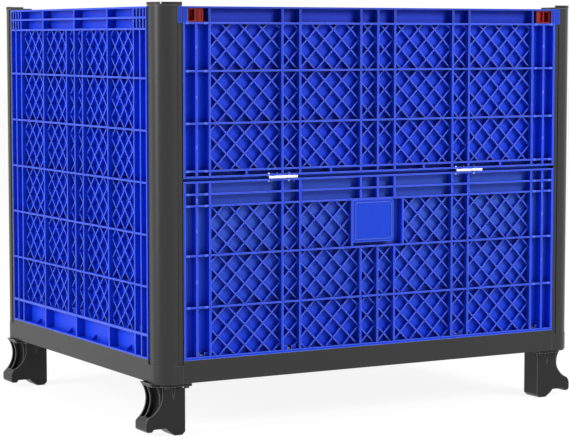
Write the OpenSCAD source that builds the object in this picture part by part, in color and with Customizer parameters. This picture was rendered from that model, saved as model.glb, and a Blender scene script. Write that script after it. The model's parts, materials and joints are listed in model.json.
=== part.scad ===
// Collapsible bulk container: four lattice walls that fold in over a base ring,
// a drop gate in the front wall, corner posts that lift out, and four fork feet.
// Millimetres, +Z up, origin on the floor under the plan centre, front towards -Y.

/* [Overall] */
// Outer length of the base ring, along X
length = 1200; // [900:5:1400]
// Outer depth of the base ring, along Y
depth = 955; // [800:5:1200]
// Height of the feet under the ring
foot_h = 128; // [110:1:150]
// Height of the base ring
ring_h = 54; // [44:1:70]
// Height of the walls above the ring
wall_h = 832; // [760:1:900]

/* [Corner posts] */
// Width of the square post, and of the ring under it
post_w = 62; // [56:1:80]
// Radius of the rounded outer corner
corner_r = 40; // [30:1:50]
// Wall thickness of the hollow post
post_wall = 6; // [5:0.5:8]
// Height of the post and its cap above the walls
post_rise = 10; // [6:1:20]
// Distance of the post's faces behind the ring's faces
post_inset = 1; // [0.5:0.1:2]
// Width of the shallow strip beside each wall
rebate_w = 13; // [8:0.5:16]
// Depth of that strip
rebate_d = 2.5; // [1.5:0.1:3]
// Width of the groove beside the strip
groove_w = 2; // [1:0.1:3]
// Depth of the groove
groove_d = 4; // [3:0.1:4.5]
// Drop of the post's foot below the ring top
seat_drop = 11; // [5:1:20]
// Height of the spigot inside the post
spigot_h = 60; // [40:1:100]
// Wall thickness of the spigot
spigot_wall = 4; // [3:0.5:6]
// Gap between the spigot and the post, each side
spigot_fit = 0.5; // [0.3:0.1:1]
// Thickness of the floor inside the corner socket
socket_floor = 8; // [6:1:15]

/* [Post caps] */
// Thickness of the cap plate
cap_plate = 3; // [2:0.5:5]
// Height of the rim round the outer corner of the cap
cap_rim = 5; // [4:0.5:8]
// Thickness of that rim
cap_rim_t = 3; // [2:0.5:5]
// Depth of the plug under the cap
cap_plug = 6; // [4:1:12]
// Diameter of the drain hole through the rim
cap_hole_d = 4.2; // [3:0.1:4.5]

/* [Base ring and floor] */
// Wall thickness of the hollow rails
rail_wall = 4; // [3:0.5:6]
// Radius of the rails' outer long edges
rail_edge_r = 3; // [2:0.5:4]
// Height of the ribbed floor deck
deck_h = 40; // [25:1:45]
// Thickness of the deck's top plate
deck_plate = 5; // [4:0.5:8]
// Thickness of the ribs under the deck
deck_rib = 4; // [3:0.5:6]
// Largest distance between those ribs
deck_pitch = 135; // [90:5:160]

/* [Walls] */
// Thickness of a wall over its ribs
wall_t = 25; // [23:0.5:28]
// Thickness of the closed inner skin
skin_t = 3; // [2.5:0.1:4]
// Distance of the lattice tips behind the rib tips
lattice_drop = 10; // [5:0.5:12]
// Distance between lattice crossings
pitch = 49.1; // [40:0.1:60]
// Thickness of a lattice rib
lattice_rib = 3; // [2:0.1:4]
// Thickness of the upright ribs
rib_v = 5; // [3:0.5:7]
// Thickness of the level ribs
rib_h = 4; // [3:0.5:6]
// Thickness of the rim at a seam between a wall and what it stands on
seam_rim = 3; // [2:0.5:5]
// Height of the small triangular webs in the sills
web_h = 14; // [8:1:18]
// Distance of those webs' tips behind the wall's face
web_in = 3; // [1:0.5:8]
// Thickness of the rim along the foot of the front wall
foot_rim = 7; // [4:0.5:10]
// Least width of the plain column at each end of a wall
end_column = 65; // [55:1:80]
// Height of the upper plain band along the top of a wall
top_band = 26; // [20:1:40]
// Height of the plain band under it on the end walls and the back wall
second_band = 26.7; // [20:0.1:40]
// Gap between a wall and the posts beside it
side_gap = 1.5; // [1:0.1:3]
// Gap under a wall
lift_gap = 0.3; // [0.2:0.1:1]

/* [Fold] */
// Height of the sill under the back wall
back_sill_h = 32; // [31.5:0.5:40]
// Gap between walls that lie folded on each other
stack_gap = 0.5; // [0.3:0.1:2]
// Radius of the hinge eyes at the foot of each wall
eye_r = 6; // [5.5:0.1:7]
// Radius of the wall hinge pins
pin_r = 3; // [2.5:0.1:3.5]
// Radial running clearance round a hinge pin
pin_fit = 0.05; // [0.03:0.01:0.09]
// Width of the lug that holds a wall hinge pin
lug_w = 10; // [8:1:14]
// Width of the hinge eye on each side of the lug
eye_w = 12; // [10:1:14]
// Gap between the lug and each eye
lug_gap = 0.5; // [0.3:0.1:1]
// Clearance round the lug in the wall's notch
notch_gap = 3; // [3:0.5:5]

/* [Front gate] */
// Height of the fixed lower front panel
lower_h = 422.5; // [380:0.5:450]
// Gap between the lower panel and the gate
gate_gap = 8; // [8:0.5:12]
// Height of the upper of the two bands on the lower panel
lower_band_a = 30.5; // [25:0.5:40]
// Height of the band under it
lower_band_b = 27.5; // [20:0.5:40]
// Height of the narrow band at the foot of the gate
gate_foot_band = 16; // [14:0.5:24]
// Height of the band at the top of the gate
gate_top_band = 39; // [36:0.5:45]

/* [Gate hinges] */
// Length of each steel hinge
hinge_l = 78; // [60:1:100]
// Radius of the hinge barrel
barrel_r = 3.8; // [3.5:0.1:3.9]
// Distance of the hinge axis in front of the wall's face
axis_proud = 1.5; // [1.5:0.1:2]
// Radius of the hinge pin
gate_pin_r = 2; // [1.5:0.1:2.5]
// Thickness of a hinge leaf
leaf_t = 1.5; // [1:0.1:2]
// Depth that a leaf reaches over the edge of the panel
leaf_reach = 19; // [15:1:21]
// Width of the small tabs bent over the face
leaf_tab_w = 4; // [3:0.5:8]
// Length of those tabs
leaf_tab_l = 8; // [5:0.5:12]
// Gap between neighbouring knuckles
knuckle_gap = 0.4; // [0.2:0.1:1]
// Radius of the hinge screws' shanks
screw_r = 2; // [1.5:0.1:2.5]
// Height of the hinge screws' heads
screw_head_h = 1.6; // [1:0.1:2]
// Radius of the hinge screws' heads
screw_head_r = 3.6; // [3:0.1:4]
// Length of the hinge screws under their heads
screw_l = 9; // [6:0.5:12]
// Distance of the hinge screws behind the wall's face
screw_in = 11.5; // [9:0.5:14]
// Distance of a hinge screw from the middle of its hinge
screw_side = 23.4; // [15:0.1:30]

/* [Latches] */
// Length of a latch block
latch_l = 42; // [34:1:46]
// Height of a latch block
latch_h = 32; // [26:0.5:32]
// Travel of a latch
latch_travel = 8; // [6:0.5:10]
// Depth of the latch block over the skin
latch_t = 17; // [15:0.5:18]
// Height of the latch nose
nose_h = 16; // [10:1:18]
// Thickness of the latch nose
nose_t = 8; // [6:0.5:10]
// Thickness of the cover over the nose
cover_t = 3; // [2:0.5:4]
// Length of that cover along the gate
cover_l = 12; // [10:0.5:14]
// Thickness of the walls round a latch's finger pockets
latch_wall = 3; // [2:0.5:4]
// Running gap round a latch
latch_gap = 0.4; // [0.3:0.1:1]

/* [Label holder] */
// Width of the card plate
label_w = 118; // [100:1:125]
// Gap between the plate and the rib under it
label_drop = 8.5; // [5:0.5:15]
// Thickness of the plate and its sides
label_t = 2.5; // [2:0.5:4]
// Height of the raised lip round the card
label_lip = 1.2; // [0.8:0.1:1.5]
// Width of that lip
label_lip_w = 2.5; // [2:0.5:4]
// Distance of the lip from the edge of the plate
label_margin = 6; // [4:0.5:12]

/* [Feet] */
// Distance that a toe stands out past the ring
toe_out = 21; // [17:1:24]
// Distance from the ring's face to the inner face of a foot
foot_in = 83; // [78:1:90]
// Distance of a foot behind the ring's front or back face
foot_setback = 34; // [32:1:45]
// Depth of a foot, along Y
foot_depth = 57; // [52:1:75]
// Thickness of the flange on top of a foot
flange_t = 9; // [7:0.5:14]
// Radius of the hollow in the outer side of a foot
hollow_r = 62.7; // [58:0.1:66]
// Distance of that hollow's centre outside the ring's end face
hollow_out = 57; // [54:0.5:60]
// Height of that centre
hollow_z = 87.5; // [85:0.5:90]
// Radius of the deeper hollow in the foot's front plate
front_hollow_r = 54.3; // [50:0.1:56]
// Distance of that hollow's centre outside the ring's end face
front_hollow_out = 31.5; // [29:0.5:34]
// Height of that centre
front_hollow_z = 98.7; // [96:0.1:101]
// Thickness of the foot's front and back plates and of the rib between them
foot_plate = 4; // [3:0.5:8]
// Width of the channel behind the front plate
channel_w = 26; // [20:1:32]
// Depth of the two channels between those plates
channel_d = 12; // [8:0.5:16]
// Height at which the channels begin
channel_z = 46; // [44:1:55]
// Height of the upright end of the toe
toe_side_z = 33; // [31:1:34]
// Radius of a foot bolt
bolt_r = 4; // [3:0.5:5]
// Height of a bolt head
bolt_head_h = 5; // [4:0.5:7]
// Radius of a bolt head over its corners
bolt_head_r = 7; // [6:0.5:9]
// Distance of the flange's edge inside the ring's faces
flange_inset = 14; // [10:0.5:16]
// Length of the flange past the foot, along X
flange_past_x = 8; // [7:1:20]
// Length of the flange past the foot, along Y
flange_past_y = 22; // [18:1:30]
// Distance of the socket's bolt from the ring's end face
socket_bolt_x = 30; // [24:1:36]
// Distance of the long rail's bolt from the post
rail_bolt_x = 20; // [15:1:24]
// Distance of both these bolts from the ring's front or back face
front_bolt_y = 25; // [20:1:30]
// Distance of the short rail's bolt from the ring's end face
side_bolt_x = 54; // [50:1:56]
// Distance of that bolt from the inner edge of the flange
side_bolt_in = 11; // [9:1:14]
// Height of the toe's underside
toe_z = 12.5; // [8:0.5:18]
// Height of the arch between toe and pad
arch_z = 18.5; // [14:0.5:24]
// Height at which the slope beside the pad begins
slope_z = 10.5; // [6:0.5:12]
// Distance from the ring's end face to the top of that slope
slope_x = 40; // [34:1:44]
// Distance from the ring's end face to the flat pad
pad_x = 55; // [50:1:60]
// Size of the bevels beside the pad
pad_bevel = 8; // [4:0.5:12]
// Size of the bevels round the toe
toe_bevel = 5; // [2:0.5:6]
// Distance from the ring's end face to the middle of the wedge-shaped recess
wedge_x = 52; // [46:1:54]
// Width of that recess at its top
wedge_w = 10; // [6:1:14]
// Height of that recess
wedge_h = 30; // [15:1:40]
// Height of the opening under the flange
window_h = 7; // [4:0.5:10]
// Width of the opening's mouth in the front plate
window_w = 25; // [20:1:26]
// Depth of the mouth at the inner side of the foot
window_in = 16; // [12:1:20]
// Distances from the ring's end face to both ends of the hole in the back plate
hole_from = 26; // [24:1:30]
hole_to = 50; // [45:1:60]

/* [Hidden] */
blue = [0.11, 0.20, 0.80];
charcoal = [0.27, 0.27, 0.27];
black = [0.12, 0.12, 0.12];
red = [0.50, 0.06, 0.06];
steel = [0.80, 0.81, 0.83];
ring_z = foot_h;
wall_z = foot_h + ring_h;
seat_z = wall_z - seat_drop;
cap_h = cap_plate + cap_rim;
cap_z = wall_z + wall_h + post_rise - cap_h;
long_w = length - 2 * post_w - 2 * side_gap;
short_w = depth - 2 * post_w - 2 * side_gap;
row_h = 2.5 * pitch;
gate_y = lower_h + gate_gap;
gate_h = wall_h - gate_y;
hinge_y = lower_h + gate_gap / 2;
// The four walls lie on each other when folded, so each sill is one layer higher
left_sill_h = back_sill_h + wall_t + stack_gap;
right_sill_h = left_sill_h + wall_t + stack_gap;
cut = 1;
fine = 96;

// Columns
// Half-width of the lattice field in a wall w wide, in half steps of the lattice
function field_half(w) = pitch * floor(2 * (w / 2 - end_column) / pitch) / 2;
function both(v) = concat([for (i = [len(v) - 1 : -1 : 0]) -v[i]], [0], v);
function end_ribs(w) = [field_half(w), (field_half(w) + w / 2) / 2, w / 2];
function inner_ribs(w, steps) = [for (s = steps) if (s * pitch < field_half(w) - pitch / 2) s * pitch];
// Places of the inner ribs from the middle of a wall, in steps of the lattice
long_steps = [1, 4.5, 5.5];
short_steps = [1, 4];
long_cols = both(concat(inner_ribs(long_w, long_steps), end_ribs(long_w)));
short_cols = both(concat(inner_ribs(short_w, short_steps), end_ribs(short_w)));
// The band at the foot of the gate has one more rib in the middle of each wide column
gate_foot_cols = both(concat(inner_ribs(long_w, [1, 2.75, 4.5, 5.5, 7.5]), end_ribs(long_w)));
// The plain bands of an end wall leave out the ribs beside the middle one
short_band_cols = both(concat(inner_ribs(short_w, [4]), end_ribs(short_w)));
short_top_cols = both(concat(inner_ribs(short_w, [4]), [for (i = [0 : 4])
  field_half(short_w) + i * (short_w / 2 - field_half(short_w)) / 4]));
// Hinges sit in the narrow columns
function end_hinge(w) = (end_ribs(w)[0] + end_ribs(w)[1]) / 2;
long_hinges = [for (s = [-1, 1]) for (x = [5 * pitch, end_hinge(long_w)]) s * x];
short_hinges = [for (s = [-1, 1]) for (x = [pitch / 2, end_hinge(short_w)]) s * x];
// Rows of a lattice field from y0 to y1, whole rows in the middle and shorter ones at both ends
function field_rows(y0, y1) = let (n = max(2, round((y1 - y0) / row_h)), mid = (y0 + y1) / 2)
  concat([y0], [for (i = [1 : n - 1]) mid + (i - n / 2) * row_h], [y1]);

// Places
module at_front() { translate([0, wall_t - depth / 2, wall_z]) rotate([90, 0, 0]) children(); }
module at_back() { translate([0, depth / 2 - wall_t, wall_z]) rotate([90, 0, 180]) children(); }
module at_left() { translate([wall_t - length / 2, 0, wall_z]) rotate([90, 0, -90]) children(); }
module at_right() { translate([length / 2 - wall_t, 0, wall_z]) rotate([90, 0, 90]) children(); }
// A corner's own frame runs inwards from the ring's outer corner, along X and Y
module at_corner(sx, sy) {
  mirror([sx > 0 ? 1 : 0, 0, 0]) mirror([0, sy > 0 ? 1 : 0, 0])
    translate([-length / 2, -depth / 2, 0]) children();
}

// Walls
// Pockets between neighbouring columns and rows, in the plane of the wall
module pockets(cols, rows, w, rim_low, rim_high) {
  last = len(rows) - 2;
  for (i = [0 : len(cols) - 2]) for (j = [0 : last]) {
    x0 = max(cols[i] + rib_v / 2, rib_v - w / 2);
    x1 = min(cols[i + 1] - rib_v / 2, w / 2 - rib_v);
    y0 = rows[j] + (j == 0 ? rim_low : rib_h / 2);
    y1 = rows[j + 1] - (j == last ? rim_high : rib_h / 2);
    translate([x0, y0]) square([x1 - x0, y1 - y0]);
  }
}
// Diamond openings of the lattice, whose crossings lie on whole pitches at height node_y
module diamonds(half_w, y0, y1, node_y) {
  side = pitch / sqrt(2) - lattice_rib;
  n = ceil(half_w / pitch) + 1;
  low = floor((y0 - node_y) * 2 / pitch) - 1;
  high = ceil((y1 - node_y) * 2 / pitch) + 1;
  for (j = [low : high]) for (i = [-n : n])
    translate([(i + (abs(j) % 2 == 0 ? 0.5 : 0)) * pitch, node_y + j * pitch / 2])
      rotate(45) square(side, center = true);
}
// The columns of a list that bound the lattice field, and those outside it
function inside(cols, half) = [for (c = cols) if (abs(c) <= half + 0.01) c];
function left_of(cols, half) = [for (c = cols) if (c <= 0.01 - half) c];
function right_of(cols, half) = [for (c = cols) if (c >= half - 0.01) c];
// Pockets with the lattice at their bottom
module lattice_cut(w, cols, rows, node_y, rim_low = rib_h / 2, rim_high = rib_h / 2) {
  tips = wall_t - lattice_drop;
  translate([0, 0, tips]) linear_extrude(lattice_drop + cut) pockets(cols, rows, w, rim_low, rim_high);
  translate([0, 0, skin_t]) linear_extrude(tips - skin_t + cut / 2) intersection() {
    pockets(cols, rows, w, rim_low, rim_high);
    diamonds(field_half(w), rows[0], rows[len(rows) - 1], node_y);
  }
}
// Plain pockets of the columns at both ends of a wall
module end_cut(w, cols, rows, rim_low = rib_h / 2, rim_high = rib_h / 2) {
  half = field_half(w);
  for (side = [left_of(cols, half), right_of(cols, half)]) band_cut(w, side, rows, rim_low, rim_high);
}
module field_cut(w, cols, rows, node_y, rim_low = rib_h / 2, rim_high = rib_h / 2) {
  lattice_cut(w, inside(cols, field_half(w)), rows, node_y, rim_low, rim_high);
  end_cut(w, cols, rows, rim_low, rim_high);
}
module band_cut(w, cols, rows, rim_low = rib_h / 2, rim_high = rib_h / 2) {
  translate([0, 0, skin_t]) linear_extrude(wall_t) pockets(cols, rows, w, rim_low, rim_high);
}
module slab(w, y0, y1) { translate([-w / 2, y0, 0]) cube([w, y1 - y0, wall_t]); }
// The hinge line of a wall whose foot is at height y0: eyes, notches for the lugs and pin bores
module hinge_blocks(places, y0) {
  block_w = lug_w + 2 * lug_gap + 2 * eye_w;
  for (x = places) translate([x - block_w / 2, y0, 0])
    cube([block_w, 2 * eye_r + notch_gap, 2 * eye_r + notch_gap]);
}
module hinge_cuts(places, w, y0) {
  reach = 2 * eye_r + notch_gap;
  notch_w = lug_w + 2 * lug_gap;
  for (x = places) {
    translate([x - notch_w / 2, y0 - cut, -cut]) cube([notch_w, reach + cut, reach + cut]);
    translate([x, y0 + eye_r, eye_r]) rotate([0, 90, 0])
      cylinder(r = pin_r + pin_fit, h = notch_w + 2 * eye_w, center = true, $fn = fine);
  }
  // The inner lower edge is round about the hinge axis, so it turns without lifting
  translate([-w / 2 - cut, y0, 0]) rotate([90, 0, 90]) linear_extrude(w + 2 * cut) difference() {
    translate([-cut, -cut]) square(eye_r + cut);
    translate([eye_r, eye_r]) circle(r = eye_r, $fn = fine);
  }
}
module whole_wall(w, cols, top_cols, places, y0) {
  low = y0 + lift_gap;
  field_top = wall_h - top_band - second_band;
  difference() {
    union() {
      difference() {
        slab(w, low, wall_h);
        field_cut(w, cols, field_rows(low, field_top), (low + field_top) / 2, seam_rim);
        band_cut(w, top_cols, [field_top, wall_h - top_band, wall_h], rib_h / 2, rib_h);
      }
      hinge_blocks(places, low);
    }
    hinge_cuts(places, w, low);
  }
}
// The fixed strip that a higher wall is hinged to
module sill(w, cols, places, h, steps) {
  low = rib_h - cut;
  deep = skin_t - cut;
  difference() {
    slab(w, 0, h);
    band_cut(w, cols, [0, h], rib_h, seam_rim);
  }
  // Small triangular webs at the foot of the wide pockets
  for (s = [-1, 1]) for (k = steps) translate([s * k * pitch - lattice_rib / 2, 0, 0])
    rotate([90, 0, 90]) linear_extrude(lattice_rib)
      polygon([[low, deep], [low, wall_t - web_in], [rib_h + web_h, deep]]);
  lugs(places, h);
}
// Lugs that stand on a rail or sill of height h and hold the hinge pins
module lugs(places, h) {
  axis = lift_gap + eye_r;
  for (x = places) translate([x - lug_w / 2, h, 0]) rotate([90, 0, 90]) linear_extrude(lug_w) difference() {
    union() {
      translate([-cut, 0]) square([axis + cut, 2 * eye_r]);
      translate([axis, eye_r]) circle(r = eye_r, $fn = fine);
    }
    translate([axis, eye_r]) circle(r = pin_r + pin_fit, $fn = fine);
  }
}
module wall_pins(places, h) {
  color(steel) for (x = places) translate([x, h + lift_gap + eye_r, eye_r]) rotate([0, 90, 0])
    cylinder(r = pin_r, h = lug_w + 2 * eye_w, center = true, $fn = fine);
}
module back_wall() { color(blue) at_back() whole_wall(long_w, long_cols, long_cols, long_hinges, back_sill_h); }
module left_wall() { color(blue) at_left() whole_wall(short_w, short_cols, short_top_cols, short_hinges, left_sill_h); }
module right_wall() { color(blue) at_right() whole_wall(short_w, short_cols, short_top_cols, short_hinges, right_sill_h); }
module back_sill() { color(blue) at_back() sill(long_w, long_cols, long_hinges, back_sill_h, [2.75, 7.5]); }
module left_sill() { color(blue) at_left() sill(short_w, short_band_cols, short_hinges, left_sill_h, [1.5, 5.65]); }
module right_sill() { color(blue) at_right() sill(short_w, short_band_cols, short_hinges, right_sill_h, [1.5, 5.65]); }
module front_wall_pins() { at_front() wall_pins(long_hinges, 0); }
module back_wall_pins() { at_back() wall_pins(long_hinges, back_sill_h); }
module left_wall_pins() { at_left() wall_pins(short_hinges, left_sill_h); }
module right_wall_pins() { at_right() wall_pins(short_hinges, right_sill_h); }

// Front wall: fixed lower panel
lower_rows = field_rows(foot_rim, lower_h - lower_band_a - lower_band_b);
label_row = len(lower_rows) - 2;
// Half-width of the label's pocket
label_half = 1.5 * pitch;
label_y0 = lower_rows[label_row] + rib_h / 2;
label_y1 = lower_rows[label_row + 1] - rib_h / 2;
module front_lower_panel() {
  half = field_half(long_w);
  field = inside(long_cols, half);
  node_y = lower_rows[label_row];
  top_row = [lower_rows[label_row], lower_rows[label_row + 1]];
  beside_label = concat([for (c = field) if (c < -label_half) c], [-label_half]);
  color(blue) at_front() difference() {
    union() {
      difference() {
        slab(long_w, lift_gap, lower_h);
        lattice_cut(long_w, field, [for (i = [0 : label_row]) lower_rows[i]], node_y, 0);
        for (s = [0, 1]) mirror([s, 0, 0]) lattice_cut(long_w, beside_label, top_row, node_y);
        band_cut(long_w, [-label_half, label_half], top_row);
        end_cut(long_w, long_cols, lower_rows, 0);
        band_cut(long_w, long_cols, [top_row[1], lower_h - lower_band_a, lower_h], rib_h / 2, rib_h);
      }
      hinge_blocks(long_hinges, lift_gap);
    }
    hinge_cuts(long_hinges, long_w, lift_gap);
    hinge_screw_cuts(lower_h - screw_l);
  }
}
// Plain card plate on its own side walls, with a raised lip round the card
module label_outline(inset) {
  x0 = rib_v / 2 - label_half + inset;
  x1 = x0 + label_w - 2 * inset;
  y0 = label_y0 + label_drop + inset;
  y1 = label_y1 - inset;
  bevel = label_margin;
  polygon([[x0, y0], [x1 - bevel, y0], [x1, y0 + bevel], [x1, y1 - bevel], [x1 - bevel, y1], [x0, y1]]);
}
module label_holder() {
  face = wall_t - label_lip;
  color(blue) at_front() {
    difference() {
      translate([0, 0, skin_t]) linear_extrude(face - skin_t) label_outline(0);
      translate([0, 0, skin_t - cut]) linear_extrude(face - skin_t - label_t + cut) label_outline(label_t);
    }
    translate([0, 0, face - cut]) linear_extrude(label_lip + cut) difference() {
      label_outline(label_margin);
      label_outline(label_margin + label_lip_w);
    }
  }
}

// Gate hinges
// The hinges sit at the outer ribs of the narrow columns
hinge_xs = [for (s = [-1, 1]) s * long_steps[2] * pitch];
screw_xs = [for (c = hinge_xs) for (s = [-1, 1]) c + s * screw_side];
screw_z = wall_t - screw_in;
axis_z = wall_t + axis_proud;
// A leaf in the lower panel's sense: it lies on the top edge at height lower_h
module leaf(c, first) {
  step = hinge_l / 5;
  difference() {
    union() {
      translate([c - hinge_l / 2, lower_h, wall_t - leaf_reach])
        cube([hinge_l, leaf_t, leaf_reach - barrel_r]);
      for (i = [first : 2 : 4]) translate([c - hinge_l / 2 + i * step + knuckle_gap / 2, 0, 0]) {
        translate([0, lower_h, wall_t - barrel_r - cut]) cube([step - knuckle_gap, leaf_t, axis_z - wall_t + barrel_r + cut]);
        translate([0, hinge_y, axis_z]) rotate([0, 90, 0])
          cylinder(r = barrel_r, h = step - knuckle_gap, $fn = fine);
        translate([(step - knuckle_gap - leaf_tab_w) / 2, lower_h - leaf_tab_l, wall_t])
          cube([leaf_tab_w, leaf_tab_l + leaf_t, axis_proud - knuckle_gap / 2]);
      }
    }
    translate([c, hinge_y, axis_z]) rotate([0, 90, 0])
      cylinder(r = gate_pin_r + pin_fit, h = hinge_l + 2 * cut, center = true, $fn = fine);
    hinge_screw_cuts(lower_h - cut);
  }
}
module hinge_screw_cuts(y0) {
  for (x = screw_xs) translate([x, y0, screw_z]) rotate([-90, 0, 0])
    cylinder(r = screw_r + pin_fit, h = screw_l + 2 * cut, $fn = fine);
}
module hinge_screws() {
  color(steel) for (x = screw_xs) translate([x, lower_h + leaf_t, screw_z]) {
    rotate([90, 0, 0]) cylinder(r = screw_r, h = screw_l, $fn = fine);
    rotate([-90, 0, 0]) cylinder(r = screw_head_r, h = screw_head_h, $fn = fine);
  }
}
// What belongs to the gate's side of a hinge is the lower side's mirror image about the hinge line
module gate_side() { translate([0, 2 * hinge_y, 0]) mirror([0, 1, 0]) children(); }
module lower_hinge_leaves() { color(steel) at_front() for (c = hinge_xs) leaf(c, 0); }
module gate_hinge_leaves() { color(steel) at_front() gate_side() for (c = hinge_xs) leaf(c, 1); }
module lower_hinge_screws() { at_front() hinge_screws(); }
module gate_hinge_screws() { at_front() gate_side() hinge_screws(); }
module gate_hinge_pins() {
  color(steel) at_front() for (c = hinge_xs) translate([c, hinge_y, axis_z]) rotate([0, 90, 0])
    cylinder(r = gate_pin_r, h = hinge_l, center = true, $fn = fine);
}

// Gate and latches
gate_rows = field_rows(gate_y + gate_foot_band, wall_h - gate_top_band);
latch_cols = both(concat(inner_ribs(long_w, long_steps), [field_half(long_w), long_w / 2]));
latch_x = rib_v - long_w / 2 + latch_travel + latch_gap;
latch_y = wall_h - rib_h - latch_gap - latch_h / 2;
nose_z = skin_t + latch_gap + latch_t / 2 - nose_t / 2;
module both_sides() { for (s = [0, 1]) mirror([s, 0, 0]) children(); }
module front_gate() {
  color(blue) at_front() difference() {
    union() {
      difference() {
        slab(long_w, gate_y, wall_h);
        band_cut(long_w, gate_foot_cols, [gate_y, gate_rows[0]], rib_h, rib_h / 2);
        field_cut(long_w, long_cols, gate_rows, gate_rows[1]);
        band_cut(long_w, latch_cols, [gate_rows[len(gate_rows) - 1], wall_h], rib_h / 2, rib_h);
      }
      both_sides() translate([-long_w / 2, wall_h - gate_top_band, wall_t - cover_t])
        cube([cover_l, gate_top_band, cover_t]);
    }
    both_sides() translate([-long_w / 2 - cut, latch_y - nose_h / 2 - latch_gap, nose_z - latch_gap])
      cube([rib_v + 2 * cut, nose_h + 2 * latch_gap, nose_t + 2 * latch_gap]);
    gate_side() hinge_screw_cuts(lower_h - screw_l);
  }
}
// A latch block with a finger pocket on each side of its middle rib, and its nose
module latch() {
  pocket_w = (latch_l - 3 * latch_wall) / 2;
  color(red) {
    difference() {
      translate([latch_x, latch_y - latch_h / 2, skin_t + latch_gap]) cube([latch_l, latch_h, latch_t]);
      for (i = [0, 1])
        translate([latch_x + latch_wall + i * (pocket_w + latch_wall), latch_y - latch_h / 2 + latch_wall,
          skin_t + latch_wall]) cube([pocket_w, latch_h - 2 * latch_wall, latch_t]);
    }
    translate([latch_gap - long_w / 2, latch_y - nose_h / 2, nose_z])
      cube([latch_x + long_w / 2 - latch_gap + cut, nose_h, nose_t]);
  }
}
module latch_left() { at_front() latch(); }
module latch_right() { at_front() mirror([1, 0, 0]) latch(); }

// Posts, caps, keepers and sockets
module corner_rect(a, b, r) {
  intersection() {
    square([a, b]);
    union() {
      translate([r, 0]) square([a, b]);
      translate([0, r]) square([a, b]);
      translate([r, r]) circle(r = r, $fn = fine);
    }
  }
}
module post_outline() {
  difference() {
    translate([post_inset, post_inset])
      corner_rect(post_w - post_inset, post_w - post_inset, corner_r - post_inset);
    for (turn = [0, 1]) mirror([turn, -turn]) {
      translate([post_w - rebate_w, -cut]) square([rebate_w + cut, rebate_d + cut]);
      translate([post_w - rebate_w, -cut]) square([groove_w, groove_d + cut]);
    }
  }
}
module hollow_outline(gap) {
  side = post_w - 2 * post_wall - 2 * gap;
  translate([post_wall + gap, post_wall + gap]) corner_rect(side, side, corner_r - post_wall - gap);
}
module post(slotted) {
  color(charcoal) difference() {
    translate([0, 0, seat_z]) linear_extrude(cap_z - seat_z) difference() {
      post_outline();
      hollow_outline(0);
    }
    if (slotted) translate([post_w - post_wall - cut, wall_t - nose_z - nose_t - cut, wall_z + latch_y - nose_h / 2 - cut])
      cube([post_wall + 2 * cut, nose_t + 2 * cut, nose_h + 2 * cut]);
  }
}
module cap() {
  color(black) difference() {
    union() {
      translate([0, 0, cap_z]) linear_extrude(cap_plate) corner_rect(post_w, post_w, corner_r);
      translate([0, 0, cap_z - cap_plug]) linear_extrude(cap_plug + cut) hollow_outline(spigot_fit);
      translate([0, 0, cap_z]) linear_extrude(cap_h) difference() {
        corner_rect(post_w, post_w, corner_r);
        translate([cap_rim_t, cap_rim_t]) corner_rect(post_w, post_w, corner_r - cap_rim_t);
      }
    }
    translate([corner_r, corner_r, cap_z + cap_plate + cap_rim / 2]) rotate([0, -90, 45])
      cylinder(d = cap_hole_d, h = corner_r + cut, $fn = fine);
  }
}
module keeper() {
  color(blue) translate([post_w - rebate_w, 0, wall_z + wall_h - gate_top_band])
    cube([rebate_w, rebate_d, gate_top_band + min(0, cap_z - wall_z - wall_h)]);
}
module socket() {
  color(charcoal) difference() {
    union() {
      translate([0, 0, ring_z]) linear_extrude(seat_z - ring_z) corner_rect(post_w, post_w, corner_r);
      translate([0, 0, ring_z]) linear_extrude(seat_z + spigot_h - ring_z) hollow_outline(spigot_fit);
    }
    translate([0, 0, ring_z + socket_floor]) linear_extrude(ring_h + spigot_h)
      hollow_outline(spigot_fit + spigot_wall);
    bolt_cuts(socket_bolts);
  }
}
module post_front_left() { at_corner(-1, -1) post(true); }
module post_front_right() { at_corner(1, -1) post(true); }
module post_back_left() { at_corner(-1, 1) post(false); }
module post_back_right() { at_corner(1, 1) post(false); }
module cap_front_left() { at_corner(-1, -1) cap(); }
module cap_front_right() { at_corner(1, -1) cap(); }
module cap_back_left() { at_corner(-1, 1) cap(); }
module cap_back_right() { at_corner(1, 1) cap(); }
module keeper_left() { at_corner(-1, -1) keeper(); }
module keeper_right() { at_corner(1, -1) keeper(); }
module socket_front_left() { at_corner(-1, -1) socket(); }
module socket_front_right() { at_corner(1, -1) socket(); }
module socket_back_left() { at_corner(-1, 1) socket(); }
module socket_back_right() { at_corner(1, 1) socket(); }

// Base ring and floor
module rail_outline() {
  difference() {
    corner_rect(post_w, ring_h, rail_edge_r);
    translate([rail_wall, rail_wall]) square([post_w - 2 * rail_wall, ring_h - 2 * rail_wall]);
  }
}
module long_rail() {
  translate([post_w - length / 2, -depth / 2, ring_z]) rotate([90, 0, 90])
    linear_extrude(length - 2 * post_w) rail_outline();
}
module short_rail() {
  translate([-length / 2, depth / 2 - post_w, ring_z]) rotate([90, 0, 0])
    linear_extrude(depth - 2 * post_w) rail_outline();
}
module front_rail() {
  color(charcoal) {
    difference() {
      long_rail();
      for (s = [-1, 1]) at_corner(s, -1) bolt_cuts(long_rail_bolts);
    }
    at_front() lugs(long_hinges, 0);
  }
}
module back_rail() {
  color(charcoal) difference() {
    mirror([0, 1, 0]) long_rail();
    for (s = [-1, 1]) at_corner(s, 1) bolt_cuts(long_rail_bolts);
  }
}
module left_rail() {
  color(charcoal) difference() {
    short_rail();
    for (s = [-1, 1]) at_corner(-1, s) bolt_cuts(short_rail_bolts);
  }
}
module right_rail() {
  color(charcoal) difference() {
    mirror([1, 0, 0]) short_rail();
    for (s = [-1, 1]) at_corner(1, s) bolt_cuts(short_rail_bolts);
  }
}
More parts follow.
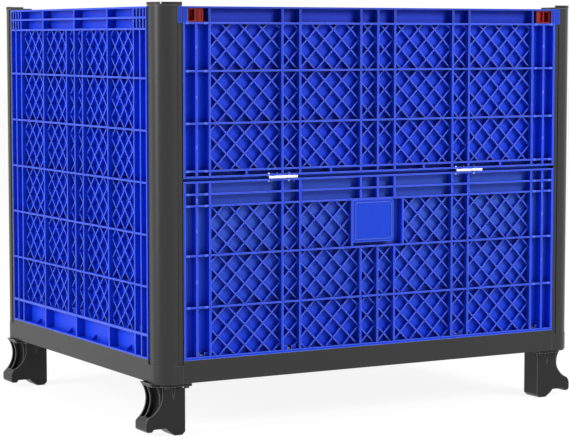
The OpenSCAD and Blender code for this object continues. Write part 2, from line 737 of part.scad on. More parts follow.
module floor_deck() {
  l = length - 2 * post_w;
  w = depth - 2 * post_w;
  nx = ceil(l / deck_pitch);
  ny = ceil(w / deck_pitch);
  sx = (l - deck_rib) / nx;
  sy = (w - deck_rib) / ny;
  color(charcoal) difference() {
    translate([-l / 2, -w / 2, wall_z - deck_h]) cube([l, w, deck_h]);
    translate([-l / 2, -w / 2, wall_z - deck_h - cut]) linear_extrude(deck_h - deck_plate + cut)
      for (i = [0 : nx - 1]) for (j = [0 : ny - 1])
        translate([deck_rib + i * sx, deck_rib + j * sy]) square([sx - deck_rib, sy - deck_rib]);
  }
}

// Feet and their bolts, in the corner's frame
flange_in = foot_in + flange_past_x;
flange_back = foot_setback + foot_depth + flange_past_y;
socket_bolts = [[socket_bolt_x, front_bolt_y]];
long_rail_bolts = [[post_w + rail_bolt_x, front_bolt_y]];
short_rail_bolts = [[side_bolt_x, flange_back - side_bolt_in]];
all_bolts = concat(socket_bolts, long_rail_bolts, short_rail_bolts);
module bolt_cuts(places) {
  for (p = places) translate([p[0], p[1], ring_z - flange_t - cut])
    cylinder(r = bolt_r + pin_fit, h = flange_t + socket_floor + 2 * cut, $fn = fine);
}
// A foot's section across its plates; the children are cut out of its outer side
module foot_outline() {
  difference() {
    polygon([
      [foot_in, foot_h], [foot_in, pad_bevel], [foot_in - pad_bevel, 0], [pad_x, 0], [slope_x, slope_z],
      [slope_x - pad_bevel, arch_z], [0, arch_z], [-toe_bevel, toe_z], [toe_bevel - toe_out, toe_z],
      [-toe_out, toe_z + toe_bevel], [-toe_out, toe_side_z], [toe_bevel / 2 - toe_out, toe_side_z + 8],
      [2 * toe_bevel - toe_out, toe_side_z + 18], [2 * toe_bevel - toe_out, foot_h]
    ]);
    children();
  }
}
module hollow(r) { translate([-hollow_out, hollow_z]) circle(r = r, $fn = fine); }
module front_hollow() {
  translate([-front_hollow_out, front_hollow_z]) {
    circle(r = front_hollow_r, $fn = fine);
    square([front_hollow_r - cut / 2, foot_h]);
  }
}
module across_foot(v0, v1) { translate([0, v1, 0]) rotate([90, 0, 0]) linear_extrude(v1 - v0) children(); }
// The front plate faces the front in all four feet, so the back feet have their plates the other way round
module foot(turned = false) {
  front = foot_setback;
  back = foot_setback + foot_depth;
  rib = front + foot_plate + channel_w;
  under = foot_h - flange_t;
  module between(v0, v1) {
    across_foot(turned ? front + back - v1 : v0, turned ? front + back - v0 : v1) children();
  }
  color(black) difference() {
    union() {
      between(front, front + foot_plate) foot_outline() front_hollow();
      between(front + foot_plate, back) foot_outline() hollow(hollow_r);
      translate([flange_inset, flange_inset, under]) linear_extrude(flange_t)
        corner_rect(flange_in - flange_inset, flange_back - flange_inset, corner_r - flange_inset);
    }
    // Two channels in the outer side, with a rib between them
    for (v = [[front + foot_plate, rib], [rib + foot_plate, back - foot_plate]])
      between(v[0], v[1]) intersection() {
        hollow(hollow_r + channel_d);
        translate([-toe_out, channel_z]) square([foot_in, under - channel_z]);
      }
    // A wedge-shaped recess in the front plate
    between(front - cut, front + foot_plate / 2)
      polygon([[wedge_x - wedge_w / 2, under], [wedge_x + wedge_w / 2, under], [wedge_x, under - wedge_h]]);
    // An opening under the flange, from the inner front corner to a hole in the back plate
    translate([0, 0, under - window_h]) linear_extrude(window_h) {
      mouth = foot_in - window_w;
      y0 = turned ? back - window_in : front - cut;
      translate([mouth, y0]) square([window_w + cut, window_in + cut]);
      translate([hole_from, front + foot_plate]) square([foot_in - foot_plate - hole_from, foot_depth - 2 * foot_plate]);
      translate([hole_from, turned ? front - cut : back - 2 * foot_plate])
        square([hole_to - hole_from, 2 * foot_plate + cut]);
    }
    bolt_cuts(all_bolts);
  }
}
module foot_front_left() { at_corner(-1, -1) foot(); }
module foot_front_right() { at_corner(1, -1) foot(); }
module foot_back_left() { at_corner(-1, 1) foot(true); }
module foot_back_right() { at_corner(1, 1) foot(true); }
module foot_bolts() {
  color(steel) for (sx = [-1, 1]) for (sy = [-1, 1]) at_corner(sx, sy) for (p = all_bolts)
    translate([p[0], p[1], ring_z - flange_t]) {
      cylinder(r = bolt_r, h = flange_t + socket_floor, $fn = fine);
      translate([0, 0, -bolt_head_h]) cylinder(r = bolt_head_r, h = bolt_head_h, $fn = 6);
    }
}

front_rail();
back_rail();
left_rail();
right_rail();
floor_deck();
socket_front_left();
socket_front_right();
socket_back_left();
socket_back_right();
foot_front_left();
foot_front_right();
foot_back_left();
foot_back_right();
foot_bolts();
back_sill();
left_sill();
right_sill();
front_wall_pins();
back_wall_pins();
left_wall_pins();
right_wall_pins();
post_front_left();
post_front_right();
post_back_left();
post_back_right();
cap_front_left();
cap_front_right();
cap_back_left();
cap_back_right();
keeper_left();
keeper_right();
front_lower_panel();
label_holder();
lower_hinge_leaves();
lower_hinge_screws();
gate_hinge_pins();
front_gate();
gate_hinge_leaves();
gate_hinge_screws();
latch_left();
latch_right();
back_wall();
left_wall();
right_wall();
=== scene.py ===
"""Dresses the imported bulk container: materials, small moulded detail, floor, light and camera."""
import json
import math

import bmesh
import bpy
from mathutils import Matrix, Vector


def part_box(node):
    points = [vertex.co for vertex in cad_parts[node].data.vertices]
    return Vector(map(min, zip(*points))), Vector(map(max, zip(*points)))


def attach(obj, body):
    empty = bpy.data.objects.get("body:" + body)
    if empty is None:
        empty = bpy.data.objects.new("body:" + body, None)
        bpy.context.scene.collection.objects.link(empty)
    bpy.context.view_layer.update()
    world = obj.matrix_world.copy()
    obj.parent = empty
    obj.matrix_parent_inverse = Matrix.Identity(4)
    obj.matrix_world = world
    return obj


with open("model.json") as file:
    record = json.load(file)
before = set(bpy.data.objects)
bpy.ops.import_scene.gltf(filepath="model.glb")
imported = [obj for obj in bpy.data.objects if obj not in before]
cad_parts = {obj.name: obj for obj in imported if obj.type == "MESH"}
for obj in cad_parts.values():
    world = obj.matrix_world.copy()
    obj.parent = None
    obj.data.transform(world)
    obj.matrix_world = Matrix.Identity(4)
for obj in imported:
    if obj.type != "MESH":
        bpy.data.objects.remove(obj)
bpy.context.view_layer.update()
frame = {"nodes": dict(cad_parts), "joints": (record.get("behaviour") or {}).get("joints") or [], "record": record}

# Places and sizes on the part are in millimetres, as in its source, and MM turns them into metres
MM = 0.001


def box_mm(node):
    """Lowest and highest corner of a CAD node, in millimetres."""
    return [[round(value / MM, 3) for value in corner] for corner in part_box(node)]


# Front wall: outer face, inner face and half length, and the edges beside the gap under the gate
(_, FACE_Y, GATE_FOOT), (HALF_LONG, INNER_Y, _) = box_mm("front_gate")
LOWER_TOP = box_mm("front_lower_panel")[1][2]
# The closed skin at its inner face: thickness and outer side
SKIN_T = 3.0
SKIN_Y = INNER_Y - SKIN_T

# Pitch of the lattice, half the width of its field, and the rib in the middle of the end column
PITCH = 49.1
FIELD_HALF = 9.5 * PITCH
END_RIB = (FIELD_HALF + HALF_LONG) / 2
# Heights of the level ribs in the gate and in the lower panel
GATE_RIBS = (628.5, 740.4, 863.1, 975.0)
LOWER_RIBS = (306.4, 429.1, 546.5, 574.0)

# Hinges between the two halves: height of the axis, middles, and just over the radius of the barrel
gate_drop = next(joint for joint in frame["joints"] if joint["name"] == "gate_drop")
HINGE_Z = round(gate_drop["pos_m"][2] / MM, 3)
HINGE_XS = (-5.5 * PITCH, 5.5 * PITCH)
BARREL_REACH = 4.2

# Outer face of the end walls' skin
END_SKIN_X = SKIN_T - box_mm("left_wall")[1][0]

# Camera: fitted to the rib lines of the photograph
PHOTO_WIDTH = 569
FOCAL_PX, SENSOR = 2082.0, 36.0
CAM_AT = Vector((-2.7343, -4.8106, 0.9373))
CAM_YAW, CAM_PITCH = -0.518, 0.0859
NEAR, FAR = 0.1, 100.0


def make_camera():
    data = bpy.data.cameras.new("camera")
    data.sensor_width = SENSOR
    data.sensor_fit = "HORIZONTAL"
    data.lens = FOCAL_PX * SENSOR / PHOTO_WIDTH
    data.clip_start, data.clip_end = NEAR, FAR
    cam = bpy.data.objects.new("camera", data)
    bpy.context.collection.objects.link(cam)
    turn = Matrix.Rotation(CAM_YAW, 4, "Z") @ Matrix.Rotation(math.pi / 2 - CAM_PITCH, 4, "X")
    cam.matrix_world = Matrix.Translation(CAM_AT) @ turn
    bpy.context.scene.camera = cam


# Shader nodes
def new_material(name):
    mat = bpy.data.materials.new(name)
    mat.use_nodes = True
    tree = mat.node_tree
    return mat, tree, tree.nodes["Principled BSDF"]


def add(tree, kind, **values):
    """A node with its settings and inputs given by name; an underscore stands for a space in an input."""
    node = tree.nodes.new(kind)
    for key, value in values.items():
        if hasattr(node, key):
            setattr(node, key, value)
        else:
            node.inputs[key.replace("_", " ")].default_value = value
    return node


def feed(tree, socket, value):
    """Links what comes from another node, or sets a number or a colour on the input itself."""
    if isinstance(value, bpy.types.NodeSocket):
        tree.links.new(value, socket)
    else:
        socket.default_value = (*value, 1) if socket.type == "RGBA" else value


def calc(tree, operation, *values, clamp=False):
    node = add(tree, "ShaderNodeMath", operation=operation, use_clamp=clamp)
    for socket, value in zip(node.inputs, values):
        feed(tree, socket, value)
    return node.outputs[0]


def dot_product(tree, a, b):
    node = add(tree, "ShaderNodeVectorMath", operation="DOT_PRODUCT")
    feed(tree, node.inputs[0], a)
    feed(tree, node.inputs[1], b)
    return node.outputs["Value"]


def noise(tree, where, scale, detail):
    node = add(tree, "ShaderNodeTexNoise", Scale=scale, Detail=detail)
    tree.links.new(where, node.inputs["Vector"])
    return node.outputs["Fac"]


def ramp(tree, source, low, high, dark, light):
    """From one colour where the source is low to another where it is high."""
    node = tree.nodes.new("ShaderNodeValToRGB")
    node.color_ramp.elements[0].position = low
    node.color_ramp.elements[1].position = high
    node.color_ramp.elements[0].color = (*dark, 1)
    node.color_ramp.elements[1].color = (*light, 1)
    tree.links.new(source, node.inputs["Fac"])
    return node.outputs["Color"]


def mix(tree, factor, a, b, blend="MIX"):
    node = add(tree, "ShaderNodeMix", data_type="RGBA", blend_type=blend)
    for socket, value in ((node.inputs[0], factor), (node.inputs[6], a), (node.inputs[7], b)):
        feed(tree, socket, value)
    return node.outputs[2]


def multiply(tree, a, b):
    return mix(tree, 1.0, a, b, "MULTIPLY")


def mix_shaders(tree, factor, a, b):
    """Two shaders in shares, where None stands for no light."""
    node = tree.nodes.new("ShaderNodeMixShader")
    feed(tree, node.inputs[0], factor)
    for socket, shader in zip(node.inputs[1:], (a, b)):
        if shader:
            tree.links.new(shader, socket)
    return node.outputs[0]


def bump(tree, height, strength, depth):
    node = add(tree, "ShaderNodeBump", Strength=strength, Distance=depth)
    tree.links.new(height, node.inputs["Height"])
    return node


def grey(value):
    return (value, value, value)


# Masks over the surface; the falloff is a power
FACING_FALLOFF = 5.0


def edge_mask(tree, radius, gain):
    """How much the surface turns within a small radius: 0 on flats, 1 on edges."""
    rounded = add(tree, "ShaderNodeBevel", samples=4, Radius=radius)
    flat = tree.nodes.new("ShaderNodeNewGeometry")
    same = dot_product(tree, rounded.outputs[0], flat.outputs["Normal"])
    return calc(tree, "MULTIPLY", calc(tree, "SUBTRACT", 1.0, same), gain, clamp=True)


def rim_mask(tree, distance, gain):
    """1 on outer edges and thin rib tips, 0 on flats and in inner corners."""
    near = add(tree, "ShaderNodeAmbientOcclusion", inside=True, samples=8, Distance=distance)
    return calc(tree, "MULTIPLY", calc(tree, "SUBTRACT", 1.0, near.outputs["AO"]), gain, clamp=True)


def recess_mask(tree, distance):
    """How open the surface lies: 1 on free faces, towards 0 in corners, where it darkens them as painted shade."""
    near = add(tree, "ShaderNodeAmbientOcclusion", samples=8, Distance=distance)
    return near.outputs["AO"]


def facing(tree, normal, axis):
    """1 on faces that look along an axis of the object, falling off quickly where they turn away."""
    local = add(tree, "ShaderNodeVectorTransform", vector_type="NORMAL",
                convert_from="WORLD", convert_to="OBJECT")
    tree.links.new(normal, local.inputs[0])
    along = calc(tree, "ABSOLUTE", dot_product(tree, local.outputs[0], axis))
    return calc(tree, "POWER", along, FACING_FALLOFF)


def axes(tree, where):
    """The X, Y and Z outputs of a place."""
    place = tree.nodes.new("ShaderNodeSeparateXYZ")
    tree.links.new(where, place.inputs[0])
    return place.outputs


def between(tree, where, steps):
    """Product of soft steps in object space: each (axis, start, full) in millimetres rises from 0 to 1."""
    place = axes(tree, where)
    rises = []
    for axis, start, full in steps:
        step = add(tree, "ShaderNodeMapRange", clamp=True, From_Min=start * MM, From_Max=full * MM)
        tree.links.new(place[axis], step.inputs["Value"])
        rises.append(step.outputs[0])
    total = rises[0]
    for rise in rises[1:]:
        total = calc(tree, "MULTIPLY", total, rise)
    return total


def tab_mask(tree, where):
    """1 on the tabs of the hinge leaves, 0 on the barrel."""
    away = calc(tree, "ABSOLUTE", calc(tree, "SUBTRACT", axes(tree, where)["Z"], HINGE_Z * MM))
    return calc(tree, "GREATER_THAN", away, BARREL_REACH * MM)


# Materials: width of a pale rim, partly worn edge and partly painted highlight, reach of the painted shade in
# corners, and depth of the fine grain
RIM, RIM_GAIN = 1.4 * MM, 2.0
PAINTED_SHADE_REACH = 20 * MM
GRAIN_DEPTH, BRUSH_DEPTH = 0.06 * MM, 0.03 * MM
PLASTIC_IOR = 1.48
# Steel: scale of the noise when brushed and when plainly plated, its dark places, and its edges
BRUSHED, PLATED = (40, 900, 900), (200, 200, 200)
STEEL_DARK, STEEL_LIGHT = 0.82, 1.15
STEEL_EDGE, STEEL_EDGE_GAIN = 0.8 * MM, 1.5
# Painted sheen on the skin behind the ribs, and how much painted shadow darkens the gate's top band
PAINTED_SHEEN_BLUE = (0.040, 0.115, 0.60)
PAINTED_BAND_SHADOW = (0.62, 0.66, 0.68)


def plastic(name, colour, pale, roughness, mottle=0.06, wear_and_highlight=0.35, recess=0.0, gloss=0.3,
            face=None, painted_sheen=None, painted_shadow=None):
    """Moulded plastic: slow colour drift, fine grain in the surface, and paler edges, partly worn and partly
    painted highlight.

    With a face, only edges that look along it are paled. Painted sheen and painted shadow are steps for between,
    and corners can be darkened as painted shade.
    """
    mat, tree, shader = new_material(name)
    where = tree.nodes.new("ShaderNodeTexCoord").outputs["Object"]
    slow = noise(tree, where, scale=3.2, detail=3.0)
    fine = noise(tree, where, scale=140.0, detail=4.0)
    grain = noise(tree, where, scale=900.0, detail=2.0)
    darker = tuple(c * (1 - mottle) for c in colour)
    lighter = tuple(min(1, c * (1 + mottle)) for c in colour)
    base = ramp(tree, slow, 0.3, 0.7, darker, lighter)
    base = multiply(tree, base, ramp(tree, fine, 0.35, 0.75, grey(0.94), grey(1.04)))
    # Painted sheen: a paler blue on the skin behind the ribs of the lower panel, rising towards the gate
    if painted_sheen:
        base = mix(tree, between(tree, where, painted_sheen), base, PAINTED_SHEEN_BLUE)
    # Painted shade: corners are darkened where the surface lies less open
    if recess:
        openness = recess_mask(tree, PAINTED_SHADE_REACH)
        base = multiply(tree, base, ramp(tree, openness, 0.25, 0.85, grey(1 - recess), grey(1.0)))
    # Rims and rib tips are paled, partly as worn edges and partly as painted highlight
    worn_and_highlit = rim_mask(tree, RIM, RIM_GAIN)
    rounded = add(tree, "ShaderNodeBevel", samples=6, Radius=RIM).outputs[0]
    if face:
        worn_and_highlit = calc(tree, "MULTIPLY", worn_and_highlit, facing(tree, rounded, face))
    base = mix(tree, calc(tree, "MULTIPLY", worn_and_highlit, wear_and_highlight), base, pale)
    # Painted shadow: the gate's top band is darkened under its rim
    if painted_shadow:
        base = mix(tree, between(tree, where, painted_shadow), base, multiply(tree, base, PAINTED_BAND_SHADOW))
    tree.links.new(base, shader.inputs["Base Color"])
    rough = ramp(tree, fine, 0.2, 0.8, grey(roughness - 0.05), grey(roughness + 0.06))
    tree.links.new(rough, shader.inputs["Roughness"])
    surface = bump(tree, grain, strength=0.5, depth=GRAIN_DEPTH)
    tree.links.new(rounded, surface.inputs["Normal"])
    tree.links.new(surface.outputs["Normal"], shader.inputs["Normal"])
    shader.inputs["IOR"].default_value = PLASTIC_IOR
    shader.inputs["Specular IOR Level"].default_value = gloss
    return mat


def metal(name, colour, roughness, grain=PLATED, coat=None):
    """Plated steel, brushed or mottled, whose tabs may be dipped in the colour of the panels."""
    mat, tree, shader = new_material(name)
    where = tree.nodes.new("ShaderNodeTexCoord").outputs["Object"]
    stretch = add(tree, "ShaderNodeMapping", Scale=grain)
    tree.links.new(where, stretch.inputs["Vector"])
    lines = noise(tree, stretch.outputs["Vector"], scale=1.0, detail=3.0)
    slow = noise(tree, where, scale=30.0, detail=3.0)
    darker = tuple(c * STEEL_DARK for c in colour)
    lighter = tuple(min(1, c * STEEL_LIGHT) for c in colour)
    base = ramp(tree, slow, 0.3, 0.7, darker, colour)
    base = mix(tree, edge_mask(tree, STEEL_EDGE, STEEL_EDGE_GAIN), base, lighter)
    shader.inputs["Metallic"].default_value = 1.0
    if coat:
        dipped = tab_mask(tree, where)
        base = mix(tree, dipped, base, coat)
        tree.links.new(calc(tree, "SUBTRACT", 1.0, dipped), shader.inputs["Metallic"])
    tree.links.new(base, shader.inputs["Base Color"])
    rough = ramp(tree, lines, 0.3, 0.7, grey(roughness - 0.06), grey(roughness + 0.08))
    tree.links.new(rough, shader.inputs["Roughness"])
    surface = bump(tree, lines, strength=0.3, depth=BRUSH_DEPTH)
    tree.links.new(surface.outputs["Normal"], shader.inputs["Normal"])
    return mat


ALONG_X, ALONG_Y = (1, 0, 0), (0, 1, 0)
# Steps for between on the front wall: its skin without the ribs, all but its inner face,
# more and more from its foot up to the gate, and the band over its top rib
BEHIND_RIBS = ("Y", SKIN_Y - 1.9, SKIN_Y - 0.2)
NOT_INSIDE = ("Y", INNER_Y - 0.5, INNER_Y - 2.1)
TOWARDS_GATE = ("Z", 210, 580)
ABOVE_RIBS = ("Z", GATE_RIBS[-1] + 2, GATE_RIBS[-1] + 6)

# The blue of the walls: colour is the plastic itself, and pale is what its rib tips are paled to, as partly worn
# edges and partly painted highlight
BLUE = dict(colour=(0.003, 0.050, 0.76), pale=(0.30, 0.42, 1.0), roughness=0.46,
            wear_and_highlight=0.9, recess=0.42, gloss=0.25, face=ALONG_Y)
# In each look, rims are paled as partly worn edges and partly painted highlight, and corners are darkened as
# painted shade
PLASTICS = {
    "blue_plastic": BLUE,
    "blue_end_walls": {**BLUE, "face": ALONG_X},
    "frame_plastic": dict(colour=(0.0165, 0.0165, 0.016), pale=(0.13, 0.13, 0.127),
                          roughness=0.33, mottle=0.07, gloss=0.42),
    "foot_plastic": dict(colour=grey(0.0070), pale=(0.34, 0.34, 0.33), roughness=0.36,
                         mottle=0.08, wear_and_highlight=0.75, recess=0.65, gloss=0.33),
    # Lower half of the front wall, with a painted sheen on its skin between the ribs
    "blue_lower_painted_sheen": {**BLUE, "painted_sheen": (BEHIND_RIBS, NOT_INSIDE, TOWARDS_GATE)},
    # Gate, with a painted shadow on its top band under the rim
    "blue_gate_painted_shadow": {**BLUE, "painted_shadow": (ABOVE_RIBS, NOT_INSIDE)},
    # Label: a darker copy of the blue, as painted shade on its flat face
    "blue_label_painted_shade": {**BLUE, "colour": (0.003, 0.050, 0.65), "pale": (0.20, 0.31, 0.95)},
    "blue_keepers": {**BLUE, "colour": (0.005, 0.042, 0.48), "pale": (0.14, 0.24, 0.90),
                     "wear_and_highlight": 0.7, "recess": 0.4},
    # Small round marks on the ribs; then brighter ones on the skin, and the lip under the gate, whose brighter
    # blue is painted light lifting its shadow
    "blue_marks": dict(colour=(0.015, 0.085, 0.80), pale=(0.16, 0.26, 0.97), roughness=0.44,
                       wear_and_highlight=0.5, gloss=0.25),
    "blue_spots_and_painted_light": dict(colour=(0.02, 0.12, 1.0), pale=(0.25, 0.36, 1.0), roughness=0.40),
    "red_plastic": dict(colour=(0.26, 0.008, 0.006), pale=(0.42, 0.05, 0.04), roughness=0.38),
}
METALS = {
    "hinge_steel": dict(colour=(0.86, 0.87, 0.88), roughness=0.28, grain=BRUSHED,
                        coat=(0.006, 0.050, 0.60)),
    "rivet_steel": dict(colour=(0.80, 0.81, 0.82), roughness=0.30),
    "zinc_steel": dict(colour=(0.11, 0.11, 0.12), roughness=0.40),
    "black_steel": dict(colour=(0.045, 0.045, 0.047), roughness=0.42),
}
MATERIALS = {name: plastic(name, **look) for name, look in PLASTICS.items()}
MATERIALS.update({name: metal(name, **look) for name, look in METALS.items()})

# Every node has the look of its slot, apart from these
OWN_LOOK = {
    "left_wall": "blue_end_walls", "right_wall": "blue_end_walls",
    "left_sill": "blue_end_walls", "right_sill": "blue_end_walls",
    "front_lower_panel": "blue_lower_painted_sheen", "front_gate": "blue_gate_painted_shadow", "label_holder": "blue_label_painted_shade",
    "keeper_left": "blue_keepers", "keeper_right": "blue_keepers",
}
SLOTS = {part["node"]: part["material_slot"] for part in frame["record"]["subparts"]}


def dress_nodes():
    for name, obj in frame["nodes"].items():
        obj.data.materials.clear()
        obj.data.materials.append(MATERIALS[OWN_LOOK.get(name, SLOTS[name])])


# Small moulded detail, in millimetres
SHARP_ANGLE = math.radians(40)


def loft(bm, rings):
    """Closed skin over rings of corners, from the first ring to the last."""
    count = len(rings[0])
    for low, high in zip(rings, rings[1:]):
        for i in range(count):
            j = (i + 1) % count
            bm.faces.new((low[i], low[j], high[j], high[i]))
    bm.faces.new(list(reversed(rings[0])))
    bm.faces.new(rings[-1])


def turned(bm, at, out, profile, sides=20):
    """A round form about an axis: profile gives (radius, height) pairs from its foot to its top."""
    turn = Vector(out).to_track_quat("Z", "Y").to_matrix()
    rings = []
    for radius, height in profile:
        ring = []
        for i in range(sides):
            a = 2 * math.pi * i / sides
            offset = turn @ Vector((radius * math.cos(a), radius * math.sin(a), height))
            ring.append(bm.verts.new((Vector(at) + offset) * MM))
        rings.append(ring)
    loft(bm, rings)


def sweep(bm, outline, low_z, high_z):
    """An upright prism over an outline in X and Y."""
    loft(bm, [[bm.verts.new(Vector((x, y, z)) * MM) for x, y in outline] for z in (low_z, high_z)])


def block(bm, low, high, bevel):
    """A box between two corners with its edges rounded."""
    made = bmesh.ops.create_cube(bm, size=1.0)["verts"]
    for v in made:
        v.co = Vector([low[i] + (v.co[i] + 0.5) * (high[i] - low[i]) for i in range(3)]) * MM
    edges = {e for v in made for e in v.link_edges}
    bmesh.ops.bevel(bm, geom=list(edges), offset=bevel * MM, segments=3, profile=0.5, affect="EDGES")


def piece(name, body, look, build):
    """A new object on a body, shaped by build, with the material of a look."""
    bm = bmesh.new()
    build(bm)
    bmesh.ops.recalc_face_normals(bm, faces=bm.faces)
    for face in bm.faces:
        face.smooth = True
    mesh = bpy.data.meshes.new(name)
    bm.to_mesh(mesh)
    bm.free()
    mesh.set_sharp_from_angle(angle=SHARP_ANGLE)
    obj = bpy.data.objects.new(name, mesh)
    bpy.context.collection.objects.link(obj)
    mesh.materials.append(MATERIALS[look])
    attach(obj, body)


# Rivet head as (radius, height) from its shank to its top
RIVET = [(1.6, -4.4), (1.6, 0.0), (3.1, 0.0), (3.0, 1.3), (2.3, 2.6), (1.1, 3.4), (0.2, 3.6)]
# Its place: along X from a hinge's middle, behind the wall's face, and up or down from the axis
RIVET_OFFSETS = (-36.2, 18.7)
RIVET_DEPTH = 4.2
RIVET_FROM_AXIS = 8.0


def rivets(up):
    """Rivet heads on one side of both hinges: up is 1 for the gate and -1 for the lower panel."""
    def build(bm):
        for middle in HINGE_XS:
            for offset in RIVET_OFFSETS:
                at = (middle + offset, FACE_Y + RIVET_DEPTH, HINGE_Z + up * RIVET_FROM_AXIS)
                turned(bm, at, (0, 0, up), RIVET)
    return build


# Lip in the gap under the gate: gaps at its ends, under the gate and to the inner face,
# its root in the lower panel, its front's depth behind the wall's face, and its bevel
LIP_END_GAP, LIP_TOP_GAP, LIP_INNER_GAP = 2.0, 0.9, 0.8
LIP_ROOT, LIP_DEPTH, LIP_BEVEL = 0.5, 21.4, 0.8


def gap_lip(bm):
    """It closes the gap from behind: it stands on the lower panel and ends just below the gate."""
    reach = HALF_LONG - LIP_END_GAP
    low = (-reach, FACE_Y + LIP_DEPTH, LOWER_TOP - LIP_ROOT)
    high = (reach, INNER_Y - LIP_INNER_GAP, GATE_FOOT - LIP_TOP_GAP)
    block(bm, low, high, LIP_BEVEL)


# Ejector marks: places along X of the two on a level rib, and radii
MARK_XS = (524.5, 476.5)
MARK_R, SMALL_MARK_R = 3.4, 2.6
# How deep in the rib a mark starts, how far it stands out, and the start and width of its taper
MARK_DEPTH, MARK_PROUD = 3.0, 0.3
TAPER_DEPTH, TAPER_W = 0.1, 0.3


def ejector_mark(bm, x, z, radius):
    """A round mark on a rib of the front wall, a little proud of it."""
    shoulder, top = MARK_DEPTH - TAPER_DEPTH, MARK_DEPTH + MARK_PROUD
    profile = [(radius, 0.0), (radius, shoulder), (radius - TAPER_W, top)]
    turned(bm, (x, FACE_Y + MARK_DEPTH, z), (0, -1, 0), profile)


def ejector_marks(levels):
    """Marks of both end columns: two on each level rib, and a small one on the upright rib between."""
    def build(bm):
        for side in (-1, 1):
            for z in levels:
                for x in MARK_XS:
                    ejector_mark(bm, side * x, z, MARK_R)
            for low, high in zip(levels, levels[1:]):
                ejector_mark(bm, side * END_RIB, (low + high) / 2, SMALL_MARK_R)
    return build


# Injection marks, where the plastic was let in: places on an end wall, root in its skin, and profile
INJECTION_YS, INJECTION_ZS = (-198, 198), (401, 799)
INJECTION_ROOT = 0.3
INJECTION_MARK = [(8.0, 0.0), (8.0, 0.5), (6.4, 0.9), (2.0, 1.0)]


def injection_marks(side):
    """Low round marks behind the lattice: side is -1 for the left wall and 1 for the right one."""
    def build(bm):
        for y in INJECTION_YS:
            for z in INJECTION_ZS:
                at = (side * (END_SKIN_X - INJECTION_ROOT), y, z)
                turned(bm, at, (side, 0, 0), INJECTION_MARK, sides=28)
    return build


# Pad of a latch: its ends from the latch's inner end, depths behind the wall's face, and half its height
PAD_FROM, PAD_TO = -19.3, -3.2
PAD_BACK, PAD_FRONT = 19.4, 12.5
PAD_HALF_H = 12.8
# Bulge of its front: height, which part of a half wave it is, from where, and in how many steps
PAD_BULGE = 6.5
BULGE_START, BULGE_PART = 0.08, 0.55
BULGE_STEPS = 12


def thumb_pad(side):
    """The pad in a latch's inner pocket, which bulges towards the hand; side is 1 for the left latch."""
    (_, _, latch_foot), (inner_end, _, latch_top) = box_mm("latch_left")
    middle_z = (latch_foot + latch_top) / 2
    low, high = inner_end + PAD_FROM, inner_end + PAD_TO
    outline = [(low, FACE_Y + PAD_BACK)]
    for i in range(BULGE_STEPS + 1):
        t = i / BULGE_STEPS
        bulge = PAD_BULGE * math.sin(math.pi * (BULGE_START + BULGE_PART * t))
        outline.append((low + (high - low) * t, FACE_Y + PAD_FRONT - bulge))
    outline.append((high, FACE_Y + PAD_BACK))
    outline = [(side * x, y) for x, y in outline]
    return lambda bm: sweep(bm, outline, middle_z - PAD_HALF_H, middle_z + PAD_HALF_H)


def make_detail():
    piece("gate_rivets", "gate", "rivet_steel", rivets(1))
    piece("lower_rivets", "front_wall", "rivet_steel", rivets(-1))
    # The lip's brighter blue is painted light that lifts it out of its shadow under the gate
    piece("gap_lip", "front_wall", "blue_spots_and_painted_light", gap_lip)
    piece("gate_ejector_marks", "gate", "blue_marks", ejector_marks(GATE_RIBS))
    piece("lower_ejector_marks", "front_wall", "blue_marks", ejector_marks(LOWER_RIBS))
    piece("left_injection_marks", "left_wall", "blue_spots_and_painted_light", injection_marks(-1))
    piece("right_injection_marks", "right_wall", "blue_spots_and_painted_light", injection_marks(1))
    piece("latch_pad_left", "latch_left", "red_plastic", thumb_pad(1))
    piece("latch_pad_right", "latch_right", "red_plastic", thumb_pad(-1))


# Floor, backdrop and light: half the floor in metres, its white and how much of the shadow it keeps,
# and the world's strength on the object and to the camera
FLOOR_HALF = 30.0
FLOOR_GLOW, SHADOW_SHARE = 0.90, 0.2
WORLD_LIGHT, WORLD_WHITE = 0.26, 1.0
WHITE = (1, 1, 1, 1)


def seen_directly(tree):
    """1 for what the camera sees, also through gloss or glass, and 0 for the light on the object."""
    path = tree.nodes.new("ShaderNodeLightPath")
    seen = path.outputs["Is Camera Ray"]
    for name in ("Is Glossy Ray", "Is Transmission Ray"):
        seen = calc(tree, "MAXIMUM", seen, path.outputs[name])
    return seen


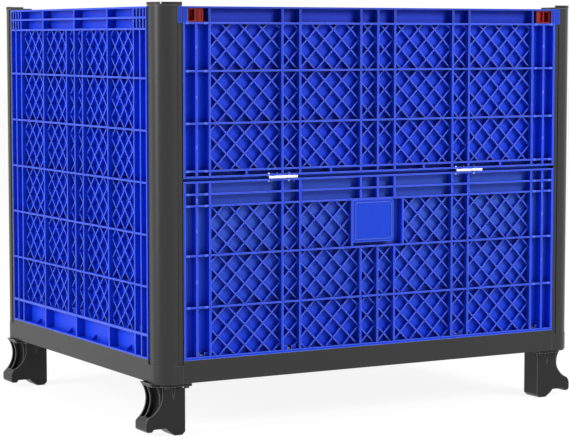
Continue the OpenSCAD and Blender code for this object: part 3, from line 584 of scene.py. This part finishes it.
def make_floor():
    """To the camera the floor is white, and keeps part of the object's shadow."""
    low, high = -FLOOR_HALF, FLOOR_HALF
    mesh = bpy.data.meshes.new("floor")
    corners = [(low, low, 0), (high, low, 0), (high, high, 0), (low, high, 0)]
    mesh.from_pydata(corners, [], [(0, 1, 2, 3)])
    floor = bpy.data.objects.new("floor", mesh)
    bpy.context.collection.objects.link(floor)
    mat, tree, shader = new_material("floor")
    speckle = add(tree, "ShaderNodeTexNoise", Scale=60.0, Detail=2.0)
    colour = ramp(tree, speckle.outputs["Fac"], 0.2, 0.8, grey(0.92), grey(0.96))
    tree.links.new(colour, shader.inputs["Base Color"])
    shader.inputs["Roughness"].default_value = 0.9
    shader.inputs["Specular IOR Level"].default_value = 0.1
    glow = add(tree, "ShaderNodeEmission", Strength=FLOOR_GLOW)
    both = tree.nodes.new("ShaderNodeAddShader")
    tree.links.new(mix_shaders(tree, SHADOW_SHARE, None, shader.outputs[0]), both.inputs[0])
    tree.links.new(glow.outputs[0], both.inputs[1])
    look = mix_shaders(tree, seen_directly(tree), shader.outputs[0], both.outputs[0])
    tree.links.new(look, tree.nodes["Material Output"].inputs["Surface"])
    mesh.materials.append(mat)


def make_world():
    """A white backdrop to the camera, and a soft light all round on the object."""
    world = bpy.context.scene.world or bpy.data.worlds.new("world")
    bpy.context.scene.world = world
    world.use_nodes = True
    tree = world.node_tree
    tree.nodes.clear()
    soft = add(tree, "ShaderNodeBackground", Color=WHITE, Strength=WORLD_LIGHT)
    backdrop = add(tree, "ShaderNodeBackground", Color=WHITE, Strength=WORLD_WHITE)
    out = tree.nodes.new("ShaderNodeOutputWorld")
    look = mix_shaders(tree, seen_directly(tree), soft.outputs[0], backdrop.outputs[0])
    tree.links.new(look, out.inputs["Surface"])


def area_light(name, at, target, size, power):
    data = bpy.data.lights.new(name, "AREA")
    data.shape = "RECTANGLE"
    data.size, data.size_y = size
    data.energy = power
    lamp = bpy.data.objects.new(name, data)
    bpy.context.collection.objects.link(lamp)
    lamp.location = at
    lamp.rotation_euler = (Vector(target) - Vector(at)).to_track_quat("-Z", "Y").to_euler()


def make_lamps():
    """In metres and watts: two soft boxes, and a narrow one aimed at the front left post."""
    area_light("key", at=(2.4, -4.4, 3.3), target=(0, 0, 0.5), size=(2.0, 2.0), power=203)
    area_light("side", at=(-5.0, 0.5, 2.6), target=(0, 0, 0.5), size=(2.4, 2.4), power=184)
    area_light("strip", at=(-4.4, 0.1, 0.9), target=(-0.6, -0.4, 0.6), size=(0.35, 1.7), power=16)


make_camera()
dress_nodes()
make_detail()
make_floor()
make_world()
make_lamps()
bpy.context.scene.view_settings.view_transform = "Standard"
